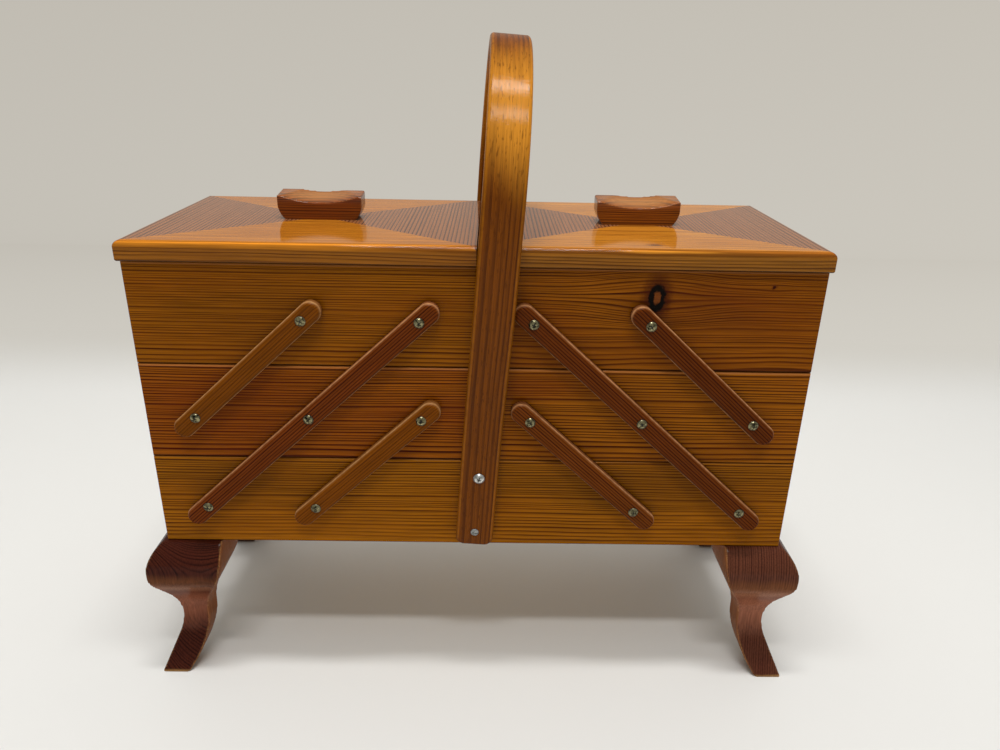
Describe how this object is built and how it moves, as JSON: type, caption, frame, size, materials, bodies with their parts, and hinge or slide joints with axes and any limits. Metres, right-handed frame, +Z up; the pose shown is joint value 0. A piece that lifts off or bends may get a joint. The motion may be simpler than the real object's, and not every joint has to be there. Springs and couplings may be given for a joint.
{
  "type": "sewing carrier",
  "caption": "Wooden cantilever sewing box on cabriole legs: stacked trays that swing out on slanting arms, two lift-off lids with scooped knobs and a bent-wood carrying handle.",
  "frame": {"origin": "on the floor under the middle of the carrier", "axes": "+X along the carrier to its right, -Y to its front, +Z up"},
  "size_m": [0.468, 0.194, 0.4477],
  "materials": {
    "honey_pine": "satin varnish",
    "red_pine": "satin varnish",
    "panel_ply": "bare plywood",
    "mahogany_stained_pine": "gloss varnish",
    "honey_beech": "gloss varnish",
    "dark_arm_wood": "satin varnish",
    "light_arm_wood": "satin varnish",
    "lid_pine": "gloss varnish",
    "dark_veneer": "gloss varnish",
    "knob_pine": "gloss varnish",
    "nickel_steel": "nickel plated",
    "zinc_steel": "bright zinc"
  },
  "bodies": {
    "carcass": {"bottom_front_board": "honey_pine", "bottom_back_board": "honey_pine", "bottom_left_end": "honey_pine", "bottom_right_end": "honey_pine", "bottom_base_panel": "panel_ply", "front_left_leg": "mahogany_stained_pine", "front_right_leg": "mahogany_stained_pine", "back_left_leg": "mahogany_stained_pine", "back_right_leg": "mahogany_stained_pine", "handle_bow": "honey_beech", "handle_screws": "zinc_steel", "bottom_pivot_screws": "nickel_steel", "leg_screws": "zinc_steel"},
    "left_long_arms": {"left_front_long_arm": "dark_arm_wood", "left_back_long_arm": "dark_arm_wood"},
    "left_lower_arms": {"left_front_lower_arm": "light_arm_wood", "left_back_lower_arm": "light_arm_wood"},
    "left_upper_arms": {"left_front_upper_arm": "light_arm_wood", "left_back_upper_arm": "light_arm_wood"},
    "left_middle_tray": {"left_middle_front_board": "red_pine", "left_middle_back_board": "red_pine", "left_middle_outer_end": "red_pine", "left_middle_inner_end": "red_pine", "left_middle_base_panel": "panel_ply", "left_middle_pivot_screws": "nickel_steel"},
    "left_top_tray": {"left_top_front_board": "honey_pine", "left_top_back_board": "honey_pine", "left_top_outer_end": "honey_pine", "left_top_inner_end": "honey_pine", "left_top_base_panel": "panel_ply", "left_top_pivot_screws": "nickel_steel"},
    "left_lid": {"left_lid_panel": "lid_pine", "left_lid_inlay": "dark_veneer", "left_lid_knob": "knob_pine", "left_lid_battens": "lid_pine"},
    "right_long_arms": {"right_front_long_arm": "dark_arm_wood", "right_back_long_arm": "dark_arm_wood"},
    "right_lower_arms": {"right_front_lower_arm": "dark_arm_wood", "right_back_lower_arm": "dark_arm_wood"},
    "right_upper_arms": {"right_front_upper_arm": "dark_arm_wood", "right_back_upper_arm": "dark_arm_wood"},
    "right_middle_tray": {"right_middle_front_board": "red_pine", "right_middle_back_board": "red_pine", "right_middle_outer_end": "red_pine", "right_middle_inner_end": "red_pine", "right_middle_base_panel": "panel_ply", "right_middle_pivot_screws": "nickel_steel"},
    "right_top_tray": {"right_top_front_board": "honey_pine", "right_top_back_board": "honey_pine", "right_top_outer_end": "honey_pine", "right_top_inner_end": "honey_pine", "right_top_base_panel": "panel_ply", "right_top_pivot_screws": "nickel_steel"},
    "right_lid": {"right_lid_panel": "lid_pine", "right_lid_inlay": "dark_veneer", "right_lid_knob": "knob_pine", "right_lid_battens": "lid_pine"}
  },
  "joints": [
    {"name": "left_open", "type": "hinge", "parent": "carcass", "child": "left_long_arms", "pos_m": [-0.184, 0, 0.142], "axis": [0, -1, 0], "range_deg": [0, 94.79]},
    {"name": "left_middle_level", "type": "hinge", "parent": "left_long_arms", "child": "left_middle_tray", "pos_m": [-0.11, 0, 0.21], "axis": [0, -1, 0], "range_deg": [-95.29, 0]},
    {"name": "left_top_level", "type": "hinge", "parent": "left_long_arms", "child": "left_top_tray", "pos_m": [-0.036, 0, 0.278], "axis": [0, -1, 0], "range_deg": [-95.29, 0]},
    {"name": "left_lower_swing", "type": "hinge", "parent": "carcass", "child": "left_lower_arms", "pos_m": [-0.11, 0, 0.142], "axis": [0, -1, 0], "range_deg": [0, 95.29]},
    {"name": "left_upper_swing", "type": "hinge", "parent": "left_middle_tray", "child": "left_upper_arms", "pos_m": [-0.184, 0, 0.21], "axis": [0, -1, 0], "range_deg": [0, 95.29]},
    {"name": "left_lid_lift", "type": "slide", "parent": "left_top_tray", "child": "left_lid", "axis": [-0.5736, 0, 0.8192], "range_m": [0, 0.15]},
    {"name": "right_open", "type": "hinge", "parent": "carcass", "child": "right_long_arms", "pos_m": [0.184, 0, 0.142], "axis": [0, 1, 0], "range_deg": [0, 94.79]},
    {"name": "right_middle_level", "type": "hinge", "parent": "right_long_arms", "child": "right_middle_tray", "pos_m": [0.11, 0, 0.21], "axis": [0, 1, 0], "range_deg": [-95.29, 0]},
    {"name": "right_top_level", "type": "hinge", "parent": "right_long_arms", "child": "right_top_tray", "pos_m": [0.036, 0, 0.278], "axis": [0, 1, 0], "range_deg": [-95.29, 0]},
    {"name": "right_lower_swing", "type": "hinge", "parent": "carcass", "child": "right_lower_arms", "pos_m": [0.11, 0, 0.142], "axis": [0, 1, 0], "range_deg": [0, 95.29]},
    {"name": "right_upper_swing", "type": "hinge", "parent": "right_middle_tray", "child": "right_upper_arms", "pos_m": [0.184, 0, 0.21], "axis": [0, 1, 0], "range_deg": [0, 95.29]},
    {"name": "right_lid_lift", "type": "slide", "parent": "right_top_tray", "child": "right_lid", "axis": [0.5736, 0, 0.8192], "range_m": [0, 0.15]}
  ],
  "couplings": [
    {"joint": "left_middle_level", "follows": "left_open", "ratio": -1},
    {"joint": "left_top_level", "follows": "left_open", "ratio": -1},
    {"joint": "left_lower_swing", "follows": "left_open", "ratio": 1},
    {"joint": "left_upper_swing", "follows": "left_open", "ratio": 1},
    {"joint": "right_middle_level", "follows": "right_open", "ratio": -1},
    {"joint": "right_top_level", "follows": "right_open", "ratio": -1},
    {"joint": "right_lower_swing", "follows": "right_open", "ratio": 1},
    {"joint": "right_upper_swing", "follows": "right_open", "ratio": 1}
  ]
}
